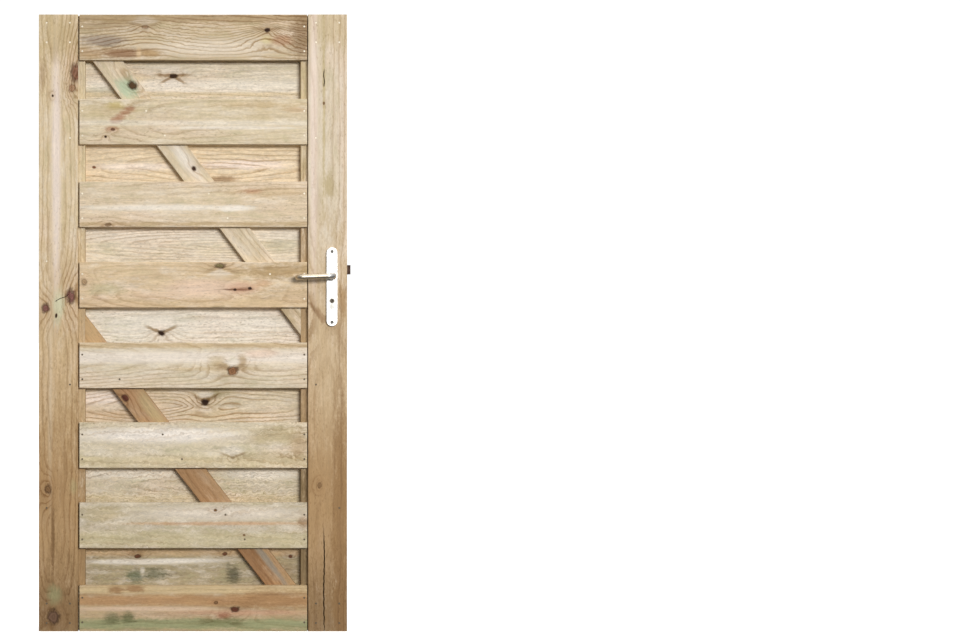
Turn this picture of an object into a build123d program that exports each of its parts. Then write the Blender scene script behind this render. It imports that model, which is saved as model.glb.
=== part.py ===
"""Garden gate leaf: pressure-treated softwood boards on both faces of a braced core, with a mortise lock.

Looking at the front, x runs across to the lock side, y runs from the front to the back and z runs up.
The origin is the middle of the leaf's bottom edge, halfway through its thickness.
"""

from build123d import *
import math
import os

# ---------------------------------------------------------------------------------------------
# Driving dimensions, in millimetres and degrees
# ---------------------------------------------------------------------------------------------

# The leaf
leaf_width = 900.0
leaf_height = 1800.0

# Timber: a core of rails, uprights and braces, with boards and stiles nailed to both faces
face_thickness = 18.0
core_thickness = 28.0
board_height = 133.0
stile_width = 114.0
upright_width = 134.0
rail_height = 126.0
arris_radius = 2.0
left_end_gap = 5.0
right_end_gap = 3.0
# How far each front board was nailed above its evenly spaced place, from the top board down
front_board_drift = (0.0, -8.0, -11.0, -8.0, -5.0, 0.0, 4.0, 0.0)

# The two braces, which run down towards the lock side
brace_width = 71.0
upper_brace_lean = 37.2
lower_brace_lean = 38.0
upper_brace_corner_gap = 17.0
lower_brace_corner_gap = 9.0

# Nails
nail_radius = 1.4
nail_length = 40.0
nail_head_radius = 2.8
nail_head_height = 1.0
nail_head_sunk = 0.3
nail_pocket_clearance = 0.15
board_nail_from_end = 8.0
board_nail_from_top = 35.0
board_nail_from_bottom = 26.0
brace_nail_margin = 22.0
stile_nail_from_edge = 23.0
stile_nail_from_end = 24.0
stile_nail_pair_step = 57.0
stile_nail_pitch = 300.0
back_nail_step_in = 14.0
lock_nail_margin = 30.0

# Where the lock sits
backset = 45.0
spindle_height = 1036.0
cylinder_drop = 72.0

# Lock plates, one on each face
plate_width = 33.0
plate_height = 231.0
plate_thickness = 8.0
plate_edge_radius = 2.0
plate_centre_drop = 31.0
plate_screw_spacing = 206.0
plate_screw_radius = 2.5
plate_screw_head_radius = 5.0
plate_screw_head_height = 2.6
screw_slot_width = 1.2
screw_slot_depth = 1.1
sleeve_radius = 3.5
sleeve_length = 34.0

# Lever handles and the square spindle between them
lever_length = 109.0
lever_reach = 46.0
lever_radius = 7.5
lever_droop = 4.0
lever_elbow_radius = 16.0
lever_tip_bend_radius = 13.0
lever_return = 28.0
lever_end_rounding = 5.5
neck_radius = 11.0
neck_length = 20.0
neck_taper = 8.0
collar_radius = 12.5
collar_thickness = 3.0
journal_radius = 9.0
journal_length = 6.0
bush_radius = 12.5
spindle_side = 8.0
spindle_socket_depth = 30.0
grub_screw_radius = 2.9
grub_screw_from_plate = 10.0
grub_socket_radius = 1.5

# Lock case and forend
case_behind_spindle = 23.0
case_height = 165.0
case_thickness = 15.0
case_wall = 1.5
case_top_above_spindle = 50.0
case_post_radius = 3.2
case_post_inset = 7.0
cover_screw_radius = 1.5
cover_screw_head_radius = 2.7
cover_screw_head_height = 0.8
forend_width = 20.0
forend_height = 235.0
forend_thickness = 3.0
forend_screw_from_end = 9.0
forend_screw_radius = 2.0
forend_screw_head_radius = 4.0
forend_screw_length = 30.0
spindle_hole_radius = 10.0

# Follower hub, which the spindle turns
hub_radius = 10.0
hub_boss_radius = 7.5
hub_arm_width = 3.4
hub_arm_tip_radius = 2.5
latch_arm_radius = 17.5
spring_arm_radius = 14.0
spring_arm_start = 15.0
handle_turn = 40.0

# Latch bolt
latch_above_spindle = 20.0
latch_height = 27.5
latch_thickness = 11.2
latch_projection = 12.5
latch_nose_thickness = 2.0
latch_head_length = 30.5
latch_tail_height = 4.0
latch_tail_thickness = 6.0
latch_tail_above_hub_arm = 1.0
latch_lug_width = 4.0
latch_lug_drop = 6.0
latch_rod_radius = 1.8
latch_rod_length = 27.0
latch_rod_drop = 4.75

# Deadbolt
deadbolt_below_spindle = 39.0
deadbolt_height = 30.0
deadbolt_thickness = 11.2
deadbolt_length = 44.8
deadbolt_throw = 20.0
guide_pin_radius = 3.0
guide_pin_from_forend = 13.0

# Profile cylinder
profile_radius = 8.5
profile_height = 33.0
profile_web = 10.0
cylinder_proud = 2.0
plug_radius = 6.5
plug_proud = 0.3
keyway_width = 2.2
keyway_height = 8.4
keyway_depth = 30.0
cam_width = 9.4
cam_radius = 7.8
cam_reach = 13.2
cam_lug_width = 8.0
cylinder_screw_radius = 2.4
cylinder_screw_above_foot = 5.3

# Springs
latch_spring_wire = 0.9
latch_spring_radius = 3.0
latch_spring_turns = 11
hub_spring_wire = 1.0
hub_spring_radius = 2.6
hub_spring_turns = 6
hub_spring_length = 26.0
spring_shelf_thickness = 2.0

# Clearances
mortise_clearance = 1.2
forend_clearance = 0.2
bolt_clearance = 0.4
running_clearance = 0.06
turning_clearance = 0.4
loose_clearance = 0.3
wood_clearance = 1.5
contact_gap = 0.3

# ---------------------------------------------------------------------------------------------
# Places that follow from them
# ---------------------------------------------------------------------------------------------

half_width = leaf_width / 2
half_core = core_thickness / 2
half_leaf = half_core + face_thickness
board_left = stile_width + left_end_gap - half_width
board_right = half_width - stile_width - right_end_gap
opening_half = half_width - upright_width
board_pitch = (leaf_height - board_height) / (len(front_board_drift) - 1)

spindle_x = half_width - backset
cylinder_height = spindle_height - cylinder_drop
plate_centre = spindle_height - plate_centre_drop
plate_face = half_leaf + plate_thickness
plate_screw_heights = (plate_centre - plate_screw_spacing / 2, plate_centre + plate_screw_spacing / 2)

forend_back = half_width - forend_thickness
case_rear = spindle_x - case_behind_spindle
case_top = spindle_height + case_top_above_spindle
case_bottom = case_top - case_height
case_centre = (case_top + case_bottom) / 2
half_case = case_thickness / 2
half_case_inside = half_case - case_wall

# The latch arm stands half the handle's turn before upright, so that it moves the latch evenly
latch_arm_start = handle_turn / 2
latch_centre = spindle_height + latch_above_spindle
latch_rear = half_width + latch_projection - latch_head_length
latch_tail_bottom = spindle_height + latch_arm_radius + hub_arm_tip_radius + latch_tail_above_hub_arm
latch_tip_x = spindle_x + latch_arm_radius * math.sin(math.radians(latch_arm_start))
latch_lug_face = latch_tip_x - hub_arm_tip_radius - contact_gap
latch_rod_height = latch_centre + latch_height / 2 - latch_rod_drop
deadbolt_centre = spindle_height - deadbolt_below_spindle
guide_pin_x = forend_back - guide_pin_from_forend
cylinder_screw_height = cylinder_height + profile_radius - profile_height + cylinder_screw_above_foot

spring_arm_tip_x = spindle_x - spring_arm_radius * math.cos(math.radians(spring_arm_start))
spring_arm_tip_z = spindle_height + spring_arm_radius * math.sin(math.radians(spring_arm_start))
hub_spring_top = spring_arm_tip_z - hub_arm_tip_radius - contact_gap
hub_spring_foot = hub_spring_top - hub_spring_length


# ---------------------------------------------------------------------------------------------
# Solids drawn from two corners or from an outline
# ---------------------------------------------------------------------------------------------

def block(x0, x1, y0, y1, z0, z1):
    """A plain block between two corners."""
    return Pos((x0 + x1) / 2, (y0 + y1) / 2, (z0 + z1) / 2) * Box(x1 - x0, y1 - y0, z1 - z0)


def timber(x0, x1, y0, y1, z0, z1, run):
    """A planed length of wood along the run axis, with its long arrises eased."""
    easing = min(arris_radius, (y1 - y0) / 4)
    return fillet(block(x0, x1, y0, y1, z0, z1).edges().filter_by(run), easing)


def through_leaf(outline, y0, y1):
    """The outline, drawn in x and z as seen from the front, from y0 back to y1."""
    return extrude(Plane.XZ.offset(-y1) * outline, y1 - y0)


def along_edge(outline, x0, x1):
    """The outline, drawn in y and z as seen from the lock side, from x0 out to x1."""
    return extrude(Plane.YZ.offset(x0) * outline, x1 - x0)


def disc_at(x, z, radius):
    """A round outline at x and z."""
    return Pos(x, z) * Circle(radius)


def group(solids):
    """Several separate solids as one node."""
    return Compound(children=list(solids))


# ---------------------------------------------------------------------------------------------
# Timber
# ---------------------------------------------------------------------------------------------

def front_board_centres():
    """The middle height of each front board, from the top down."""
    top = leaf_height - board_height / 2
    return [top - row * board_pitch + drift for row, drift in enumerate(front_board_drift)]


def back_board_centres():
    """Each back board stands behind the middle of a gap between two front boards."""
    fronts = front_board_centres()
    return [(above + below) / 2 for above, below in zip(fronts, fronts[1:])]


def cross_board(centre, y0, y1):
    """A horizontal board between the two stiles of one face, dimpled where it is nailed."""
    half = board_height / 2
    wood = timber(board_left, board_right, y0, y1, centre - half, centre + half, Axis.X)
    return wood - nail_pockets(board_nail_places([centre]), back=y0 > 0)


def stile(x0, x1, y0, y1):
    """An upright face board over the full height of the leaf, dimpled where it is nailed."""
    wood = timber(x0, x1, y0, y1, 0, leaf_height, Axis.Z)
    back = y0 > 0
    return wood - nail_pockets(stile_nail_places(back_nail_step_in if back else 0), back)


def core_rail(z0):
    """A rail across the whole width, between the front and back layers."""
    return timber(-half_width, half_width, -half_core, half_core, z0, z0 + rail_height, Axis.X)


def core_upright(x0):
    """An upright between the two core rails."""
    top = leaf_height - rail_height
    return timber(x0, x0 + upright_width, -half_core, half_core, rail_height, top, Axis.Z)


def brace_centre_x(z, upper):
    """Where a brace's middle line is at the height z."""
    lean = math.radians(upper_brace_lean if upper else lower_brace_lean)
    half_span = brace_width / 2 / math.cos(lean)
    if upper:
        start = upper_brace_corner_gap + half_span - opening_half
        return start + (leaf_height - rail_height - z) * math.tan(lean)
    start = opening_half - lower_brace_corner_gap - half_span
    return start + (rail_height - z) * math.tan(lean)


def brace(upper):
    """A diagonal strip, cut off where it meets the rails and uprights."""
    lean = upper_brace_lean if upper else lower_brace_lean
    middle = leaf_height / 2
    length = 2 * (leaf_width + leaf_height)
    strip = fillet(Box(brace_width, core_thickness, length).edges().filter_by(Axis.Z), arris_radius)
    strip = Pos(brace_centre_x(middle, upper), 0, middle) * Rot(0, -lean, 0) * strip
    inside = block(-opening_half, opening_half, -half_core, half_core,
                   rail_height, leaf_height - rail_height)
    return strip & inside


# ---------------------------------------------------------------------------------------------
# Holes that the lock needs in the wood
# ---------------------------------------------------------------------------------------------

def profile_outline(grow=0.0):
    """The outline of the lock cylinder, a round head over a narrow web, made larger by grow."""
    half_web = profile_web / 2
    foot = profile_radius - profile_height + half_web
    shape = Circle(profile_radius + grow)
    shape += Pos(0, foot / 2) * Rectangle(profile_web + 2 * grow, -foot)
    shape += Pos(0, foot) * Circle(half_web + grow)
    return Pos(spindle_x, cylinder_height) * shape


def through_holes(y0, y1):
    """Holes for the spindle, the cylinder and the two sleeve nuts."""
    holes = through_leaf(disc_at(spindle_x, spindle_height, spindle_hole_radius), y0, y1)
    holes += through_leaf(profile_outline(wood_clearance), y0, y1)
    for height in plate_screw_heights:
        holes += through_leaf(disc_at(spindle_x, height, sleeve_radius + loose_clearance), y0, y1)
    return holes


def mortise():
    """The pocket for the lock case, with the shallow housing for its forend."""
    half = half_case + mortise_clearance
    pocket = block(case_rear - mortise_clearance, half_width, -half, half,
                   case_bottom - mortise_clearance, case_top + mortise_clearance)
    housing = along_edge(forend_outline(forend_clearance), forend_back, half_width)
    return pocket + housing


def lock_stile(y0, y1):
    """The face board on the lock side, drilled for the lock."""
    wood = stile(half_width - stile_width, half_width, y0, y1)
    return wood - through_holes(y0, y1)


def lock_upright():
    """The core upright on the lock side, mortised for the lock case and drilled."""
    wood = core_upright(opening_half)
    return wood - mortise() - through_holes(-half_core, half_core)


# ---------------------------------------------------------------------------------------------
# Nails
# ---------------------------------------------------------------------------------------------

def nail():
    """A round-head nail at the front face, with its shank pointing to the back."""
    head_y = nail_head_sunk - half_leaf
    head = through_leaf(Circle(nail_head_radius), head_y, head_y + nail_head_height)
    head = chamfer(head.faces().sort_by(Axis.Y)[0].edges(), nail_head_height * 0.4)
    point_y = head_y + nail_length
    shank = through_leaf(Circle(nail_radius), head_y + nail_head_height / 2, point_y)
    shank = chamfer(shank.faces().sort_by(Axis.Y)[-1].edges(), nail_radius * 0.7)
    return head + shank


def nail_pockets(places, back):
    """The shallow dimples that nail heads are punched into."""
    depth = nail_head_sunk + nail_head_height
    dimple = through_leaf(Circle(nail_head_radius + nail_pocket_clearance), -half_leaf, depth - half_leaf)
    if back:
        dimple = mirror(dimple, about=Plane.XZ)
    return [Pos(x, 0, z) * dimple for x, z in places]


def nails_at(places, back):
    """One nail at each x and z, driven from the front or from the back."""
    pattern = nail()
    if back:
        pattern = mirror(pattern, about=Plane.XZ)
    return group([Pos(x, 0, z) * pattern for x, z in places])


def board_nail_places(centres):
    """Two nails at each end of each board, and one wherever a nail row crosses a brace."""
    places = []
    for centre in centres:
        for z in (centre + board_height / 2 - board_nail_from_top,
                  centre - board_height / 2 + board_nail_from_bottom):
            places.append((board_left + board_nail_from_end, z))
            places.append((board_right - board_nail_from_end, z))
            for upper in (True, False):
                x = brace_centre_x(z, upper)
                clear = opening_half - brace_width / 2 - brace_nail_margin
                if abs(x) < clear:
                    places.append((x, z))
    return places


def stile_nail_places(step_in):
    """Pairs at both ends of each stile, and single nails on alternate sides between them."""
    from_edge = stile_nail_from_edge + step_in
    low = plate_centre - plate_height / 2 - lock_nail_margin
    high = plate_centre + plate_height / 2 + lock_nail_margin
    end_rows = [stile_nail_from_end, stile_nail_from_end + stile_nail_pair_step]
    end_rows += [leaf_height - z for z in end_rows]
    rows_between = int((leaf_height - 2 * stile_nail_from_end) / stile_nail_pitch)
    places = []
    for side in (-1, 1):
        outer = side * (half_width - from_edge)
        inner = side * (half_width - stile_width + from_edge)
        places += [(x, z) for z in end_rows for x in (outer, inner)]
        for row in range(1, rows_between):
            z = row * leaf_height / rows_between
            if side < 0 or not low < z < high:
                places.append((outer if row % 2 else inner, z))
    return places


# ---------------------------------------------------------------------------------------------
# Lock plates, levers and spindle
# ---------------------------------------------------------------------------------------------

def lock_plate():
    """The front lock plate: a long plate with round ends, bored for bush, cylinder and screws."""
    outline = Pos(spindle_x, plate_centre) * SlotOverall(plate_height, plate_width, rotation=90)
    plate = through_leaf(outline, -plate_face, -half_leaf)
    plate = fillet(plate.faces().sort_by(Axis.Y)[0].edges(), plate_edge_radius)
    plate -= through_leaf(disc_at(spindle_x, spindle_height, bush_radius), -plate_face, -half_leaf)
    plate -= through_leaf(profile_outline(loose_clearance), -plate_face, -half_leaf)
    for height in plate_screw_heights:
        hole = disc_at(spindle_x, height, sleeve_radius + loose_clearance)
        plate -= through_leaf(hole, -plate_face, -half_leaf)
    return plate


def plate_bush():
    """The plastic ring that the front lever's journal turns in."""
    ring = disc_at(spindle_x, spindle_height, bush_radius)
    ring -= disc_at(spindle_x, spindle_height, journal_radius + running_clearance)
    return through_leaf(ring, -plate_face, -half_leaf)


def screw_head(height):
    """A shallow domed head with a straight slot, on the front lock plate."""
    top = -plate_face - plate_screw_head_height
    head = through_leaf(disc_at(spindle_x, height, plate_screw_head_radius), top, -plate_face)
    head = fillet(head.faces().sort_by(Axis.Y)[0].edges(), plate_screw_head_height * 0.6)
    slot = Pos(spindle_x, height) * Rectangle(2.2 * plate_screw_head_radius, screw_slot_width, rotation=35)
    return head - through_leaf(slot, top, top + screw_slot_depth)


def plate_screws():
    """Two machine screws, from the front lock plate into the sleeve nuts."""
    tip = half_leaf + plate_thickness - sleeve_length / 4
    screws = []
    for height in plate_screw_heights:
        shank = through_leaf(disc_at(spindle_x, height, plate_screw_radius), -plate_face, tip)
        screws.append(screw_head(height) + shank)
    return group(screws)


def sleeve_nuts():
    """Two sleeve nuts, which enter from the back lock plate and take the plate screws."""
    nuts = []
    bore_radius = plate_screw_radius + running_clearance
    for height in plate_screw_heights:
        head = mirror(screw_head(height), about=Plane.XZ)
        sleeve = through_leaf(disc_at(spindle_x, height, sleeve_radius),
                              plate_face - sleeve_length, plate_face)
        bore = through_leaf(disc_at(spindle_x, height, bore_radius),
                            plate_face - sleeve_length, plate_face)
        nuts.append(head + (sleeve - bore))
    return group(nuts)


def lever():
    """The front lever: a round bar that leaves the plate, turns to the hinge side and turns back in."""
    bar_y = -plate_face - lever_reach
    tip_x = spindle_x - lever_length + lever_radius
    tip_z = spindle_height - lever_droop
    root_y = -plate_face - turning_clearance
    path = FilletPolyline((spindle_x, root_y, spindle_height),
                          (spindle_x, bar_y, spindle_height),
                          (tip_x, bar_y, tip_z),
                          (tip_x, bar_y + lever_return, tip_z),
                          radius=[lever_elbow_radius, lever_tip_bend_radius])
    section = Plane(origin=path @ 0, z_dir=path % 0) * Circle(lever_radius)
    bar = sweep(section, path=path)
    end = bar.faces().sort_by(Axis.X)[0:6].sort_by(Axis.Y)[-1]
    bar = fillet(end.edges(), lever_end_rounding)
    return bar + lever_neck(root_y) - spindle_socket(root_y)


def lever_neck(root_y):
    """The thicker neck with its collar, and the journal that turns in the plate's bush."""
    collar = through_leaf(disc_at(spindle_x, spindle_height, collar_radius),
                          root_y - collar_thickness, root_y)
    collar = fillet(collar.faces().sort_by(Axis.Y)[0].edges(), collar_thickness / 3)
    neck = through_leaf(disc_at(spindle_x, spindle_height, neck_radius), root_y - neck_length, root_y)
    taper_place = Pos(spindle_x, root_y - neck_length - neck_taper / 2, spindle_height)
    taper = taper_place * Rot(90, 0, 0) * Cone(neck_radius, lever_radius, neck_taper)
    journal = through_leaf(disc_at(spindle_x, spindle_height, journal_radius),
                           root_y, journal_length - plate_face)
    return collar + neck + taper + journal - grub_hole()


def spindle_socket(root_y):
    """The square socket for the spindle, with the tapped hole for the grub screw."""
    side = spindle_side + 2 * running_clearance
    square = Pos(spindle_x, spindle_height) * Rectangle(side, side)
    socket = through_leaf(square, root_y - spindle_socket_depth, journal_length - plate_face)
    return socket + grub_hole()


def grub_hole():
    """The hole from the underside of the neck to the spindle."""
    hole = Pos(spindle_x, -plate_face - grub_screw_from_plate, spindle_height - neck_radius / 2)
    return hole * Cylinder(grub_screw_radius + running_clearance, neck_radius)


def grub_screw():
    """The grub screw that pins the front lever to the spindle, with its hexagon socket below."""
    top = spindle_height - spindle_side / 2
    bottom = spindle_height - neck_radius + contact_gap
    middle = Pos(spindle_x, -plate_face - grub_screw_from_plate, (top + bottom) / 2)
    screw = middle * Cylinder(grub_screw_radius, top - bottom)
    socket = Plane(origin=(spindle_x, -plate_face - grub_screw_from_plate, bottom))
    return screw - extrude(socket * RegularPolygon(grub_socket_radius, 6), (top - bottom) / 2)


def spindle():
    """The square bar that joins the two levers through the follower hub."""
    half = plate_face + spindle_socket_depth
    square = Pos(spindle_x, spindle_height) * Rectangle(spindle_side, spindle_side)
    return through_leaf(square, -half, half)


# ---------------------------------------------------------------------------------------------
# Lock case and forend
# ---------------------------------------------------------------------------------------------

def forend_outline(grow=0.0):
    """The forend's outline seen from the lock side: a narrow strip with round ends."""
    strip = SlotOverall(forend_height + 2 * grow, forend_width + 2 * grow, rotation=90)
    return Pos(0, case_centre) * strip


def forend_screw_heights():
    """Where the two wood screws of the forend are."""
    reach = forend_height / 2 - forend_screw_from_end
    return (case_centre - reach, case_centre + reach)


def countersunk(height, shank_radius, head_radius, length):
    """A countersunk screw driven into the leaf's edge, flush with the forend."""
    rise = head_radius - shank_radius
    head = Pos(half_width - rise / 2, 0, height) * Rot(0, 90, 0) * Cone(shank_radius, head_radius, rise)
    shank = along_edge(Pos(0, height) * Circle(shank_radius), half_width - length, half_width - rise)
    return head + shank


def lock_forend():
    """The steel strip let into the leaf's edge, with windows for latch and deadbolt."""
    strip = along_edge(forend_outline(), forend_back, half_width)
    for centre, height, thickness in ((latch_centre, latch_height, latch_thickness),
                                      (deadbolt_centre, deadbolt_height, deadbolt_thickness)):
        window = Rectangle(thickness + 2 * bolt_clearance, height + 2 * bolt_clearance)
        strip -= along_edge(Pos(0, centre) * window, forend_back, half_width)
    for height in forend_screw_heights():
        strip -= countersunk(height, forend_screw_radius + running_clearance,
                             forend_screw_head_radius + running_clearance, forend_thickness)
    strip -= countersunk(cylinder_screw_height, cylinder_screw_radius + running_clearance,
                         cylinder_screw_radius + forend_thickness / 2, forend_thickness)
    return strip


def case_post_places():
    """Where the cover's screws stand in the case."""
    x_rear = case_rear + case_post_inset
    x_front = forend_back - case_post_inset
    z_low = case_bottom + case_post_inset
    z_high = case_top - case_post_inset
    return ((x_rear, z_low), (x_rear, z_high), (x_front, z_low), (x_front, z_high))


def case_openings(y0, y1):
    """Holes in a case wall for the hub's bosses and the cylinder."""
    boss = disc_at(spindle_x, spindle_height, hub_boss_radius + running_clearance)
    return through_leaf(boss, y0, y1) + through_leaf(profile_outline(loose_clearance), y0, y1)


def lock_case():
    """The steel tray of the lock, with its posts, the deadbolt's guide pin and the spring's shelf."""
    floor = half_case_inside
    tray = block(case_rear, forend_back, -half_case, floor, case_bottom, case_top)
    tray -= block(case_rear + case_wall, forend_back, -floor, floor,
                  case_bottom + case_wall, case_top - case_wall)
    tray -= case_openings(-half_case, -floor)
    for x, z in case_post_places():
        tray += through_leaf(disc_at(x, z, case_post_radius), -half_case, floor)
        tray -= through_leaf(disc_at(x, z, cover_screw_radius + running_clearance), -floor, floor)
    tray += through_leaf(disc_at(guide_pin_x, deadbolt_centre, guide_pin_radius), -half_case, floor)
    shelf_reach = spring_arm_tip_x + hub_spring_radius + hub_spring_wire
    tray += block(case_rear, shelf_reach, -floor, floor,
                  hub_spring_foot - spring_shelf_thickness, hub_spring_foot)
    return tray


def lock_cover():
    """The flat steel cover that closes the lock case."""
    plate = block(case_rear, forend_back, half_case_inside, half_case, case_bottom, case_top)
    plate -= case_openings(half_case_inside, half_case)
    for x, z in case_post_places():
        hole = disc_at(x, z, cover_screw_radius + running_clearance)
        plate -= through_leaf(hole, half_case_inside, half_case)
    return plate


def cover_screws():
    """Four small screws, one in each post of the case."""
    screws = []
    head_top = half_case + cover_screw_head_height
    for x, z in case_post_places():
        head = through_leaf(disc_at(x, z, cover_screw_head_radius), half_case, head_top)
        screws.append(head + through_leaf(disc_at(x, z, cover_screw_radius), 0, half_case))
    return group(screws)


# ---------------------------------------------------------------------------------------------
# Moving parts of the lock
# ---------------------------------------------------------------------------------------------

def hub_arm(radius, angle):
    """An arm of the hub with a round tip; the angle is counted from the lock side, upwards."""
    x = radius * math.cos(math.radians(angle))
    z = radius * math.sin(math.radians(angle))
    arm = Pos(x / 2, z / 2) * Rectangle(radius, hub_arm_width, rotation=angle)
    arm += Pos(x, z) * Circle(hub_arm_tip_radius)
    return arm


def follower_hub():
    """The hub on the spindle: one arm draws the latch in, the other presses the return spring."""
    half = half_case_inside - contact_gap
    outline = Circle(hub_radius) + hub_arm(latch_arm_radius, 90 - latch_arm_start)
    outline += hub_arm(spring_arm_radius, 180 - spring_arm_start)
    hub = through_leaf(Pos(spindle_x, spindle_height) * outline, -half, half)
    hub += through_leaf(disc_at(spindle_x, spindle_height, hub_boss_radius), -half_case, half_case)
    side = spindle_side + 2 * running_clearance
    square = Pos(spindle_x, spindle_height) * Rectangle(side, side)
    return hub - through_leaf(square, -half_case, half_case)


def latch_head():
    """The latch's head, bevelled on the back so that it rides over a striker."""
    half = latch_thickness / 2
    nose = half_width + latch_projection
    outline = Polyline((latch_rear, -half), (nose, -half), (nose, latch_nose_thickness - half),
                       (half_width + contact_gap, half), (latch_rear, half), close=True)
    base = latch_centre - latch_height / 2
    return extrude(Pos(0, 0, base) * make_face(outline), latch_height)


def latch_bolt():
    """The latch: head, tail bar with the lug that the hub pushes, and the rod inside its spring."""
    half_tail = latch_tail_thickness / 2
    lug_rear = latch_lug_face - latch_lug_width
    tail = block(lug_rear, latch_rear, -half_tail, half_tail,
                 latch_tail_bottom, latch_tail_bottom + latch_tail_height)
    lug = block(lug_rear, latch_lug_face, -half_tail, half_tail,
                latch_tail_bottom - latch_lug_drop, latch_tail_bottom)
    rod = along_edge(Pos(0, latch_rod_height) * Circle(latch_rod_radius),
                     latch_rear - latch_rod_length, latch_rear)
    return latch_head() + tail + lug + rod


def deadbolt():
    """The deadbolt, drawn in flush with the forend, with the slot that its guide pin runs in."""
    half = deadbolt_thickness / 2
    front = half_width - contact_gap
    bolt = block(front - deadbolt_length, front, -half, half,
                 deadbolt_centre - deadbolt_height / 2, deadbolt_centre + deadbolt_height / 2)
    slot_length = deadbolt_throw + 2 * (guide_pin_radius + loose_clearance)
    slot_width = 2 * (guide_pin_radius + loose_clearance)
    slot = Pos(guide_pin_x - deadbolt_throw / 2, deadbolt_centre) * SlotOverall(slot_length, slot_width)
    return bolt - through_leaf(slot, -half, half)


def coil(wire, radius, turns, length):
    """A round-wire spring along z that starts at the origin."""
    pitch = (length - wire) / turns
    line = Pos(0, 0, wire / 2) * Helix(pitch=pitch, height=length - wire, radius=radius)
    section = Plane(origin=line @ 0, z_dir=line % 0) * Circle(wire / 2)
    return sweep(section, path=line, is_frenet=True)


def latch_spring():
    """The spring on the latch's rod, which pushes the latch out."""
    foot = case_rear + case_wall
    length = latch_rear - foot
    spring = coil(latch_spring_wire, latch_spring_radius, latch_spring_turns, length)
    return Pos(foot, 0, latch_rod_height) * Rot(0, 90, 0) * spring


def hub_spring():
    """The spring under the hub's second arm, which lifts the levers again."""
    spring = coil(hub_spring_wire, hub_spring_radius, hub_spring_turns, hub_spring_length)
    return Pos(spring_arm_tip_x, 0, hub_spring_foot) * spring


# ---------------------------------------------------------------------------------------------
# Profile cylinder
# ---------------------------------------------------------------------------------------------

def cylinder_body():
    """The brass body, bored for the two plugs and cut away in the middle for the cam."""
    half = plate_face + cylinder_proud
    half_gap = cam_width / 2 + turning_clearance
    body = through_leaf(profile_outline(), -half, half)
    bore = disc_at(spindle_x, cylinder_height, plug_radius + running_clearance)
    body -= through_leaf(bore, -half, half)
    cam_gap = disc_at(spindle_x, cylinder_height, cam_reach + turning_clearance)
    body -= through_leaf(cam_gap, -half_gap, half_gap)
    screw_hole = Pos(0, cylinder_screw_height) * Circle(cylinder_screw_radius + running_clearance)
    return body - along_edge(screw_hole, spindle_x - profile_web, spindle_x + profile_web)


def cylinder_plug():
    """The front plug, which the key turns, with its keyway."""
    face = -plate_face - cylinder_proud - plug_proud
    plug = through_leaf(disc_at(spindle_x, cylinder_height, plug_radius), face, -cam_width / 2)
    plug = chamfer(plug.faces().sort_by(Axis.Y)[0].edges(), plug_proud)
    keyway = Pos(spindle_x, cylinder_height) * Rectangle(keyway_width, keyway_height)
    return plug - through_leaf(keyway, face, face + keyway_depth)


def cylinder_cam():
    """The cam between the plugs, which throws the deadbolt."""
    outline = Circle(cam_radius)
    outline += Pos(0, -cam_reach / 2) * Rectangle(cam_lug_width, cam_reach)
    outline &= Circle(cam_reach)
    return through_leaf(Pos(spindle_x, cylinder_height) * outline, -cam_width / 2, cam_width / 2)


def cylinder_screw():
    """The long screw from the forend that holds the cylinder in."""
    length = half_width - spindle_x + profile_web / 2
    head_radius = cylinder_screw_radius + forend_thickness / 2 - running_clearance
    return countersunk(cylinder_screw_height, cylinder_screw_radius, head_radius, length)


def forend_screws():
    """Two wood screws that hold the forend to the upright."""
    return group([countersunk(height, forend_screw_radius, forend_screw_head_radius, forend_screw_length)
                  for height in forend_screw_heights()])


# ---------------------------------------------------------------------------------------------
# The whole leaf, one entry for each node
# ---------------------------------------------------------------------------------------------

def timber_nodes():
    """Boards, stiles, rails, uprights and braces."""
    nodes = {}
    for number, centre in enumerate(front_board_centres(), 1):
        nodes[f"front_board_{number}"] = cross_board(centre, -half_leaf, -half_core)
    for number, centre in enumerate(back_board_centres(), 1):
        nodes[f"back_board_{number}"] = cross_board(centre, half_core, half_leaf)
    nodes["front_stile_left"] = stile(-half_width, stile_width - half_width, -half_leaf, -half_core)
    nodes["back_stile_left"] = stile(-half_width, stile_width - half_width, half_core, half_leaf)
    nodes["front_stile_right"] = lock_stile(-half_leaf, -half_core)
    nodes["back_stile_right"] = lock_stile(half_core, half_leaf)
    nodes["core_rail_top"] = core_rail(leaf_height - rail_height)
    nodes["core_rail_bottom"] = core_rail(0)
    nodes["core_upright_left"] = core_upright(-half_width)
    nodes["core_upright_right"] = lock_upright()
    nodes["brace_upper"] = brace(upper=True)
    nodes["brace_lower"] = brace(upper=False)
    return nodes


def nail_nodes():
    """Nails, grouped by the face and the boards that they hold."""
    return {
        "front_board_nails": nails_at(board_nail_places(front_board_centres()), back=False),
        "back_board_nails": nails_at(board_nail_places(back_board_centres()), back=True),
        "front_stile_nails": nails_at(stile_nail_places(0), back=False),
        "back_stile_nails": nails_at(stile_nail_places(back_nail_step_in), back=True),
    }


def handle_nodes():
    """Plates, bushes, levers, spindle and their fixings; the back ones mirror the front ones."""
    return {
        "front_lock_plate": lock_plate(),
        "back_lock_plate": mirror(lock_plate(), about=Plane.XZ),
        "front_bush": plate_bush(),
        "back_bush": mirror(plate_bush(), about=Plane.XZ),
        "plate_screws": plate_screws(),
        "sleeve_nuts": sleeve_nuts(),
        "front_lever": lever(),
        "back_lever": mirror(lever(), about=Plane.XZ),
        "lever_grub_screws": group([grub_screw(), mirror(grub_screw(), about=Plane.XZ)]),
        "spindle": spindle(),
    }


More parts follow.
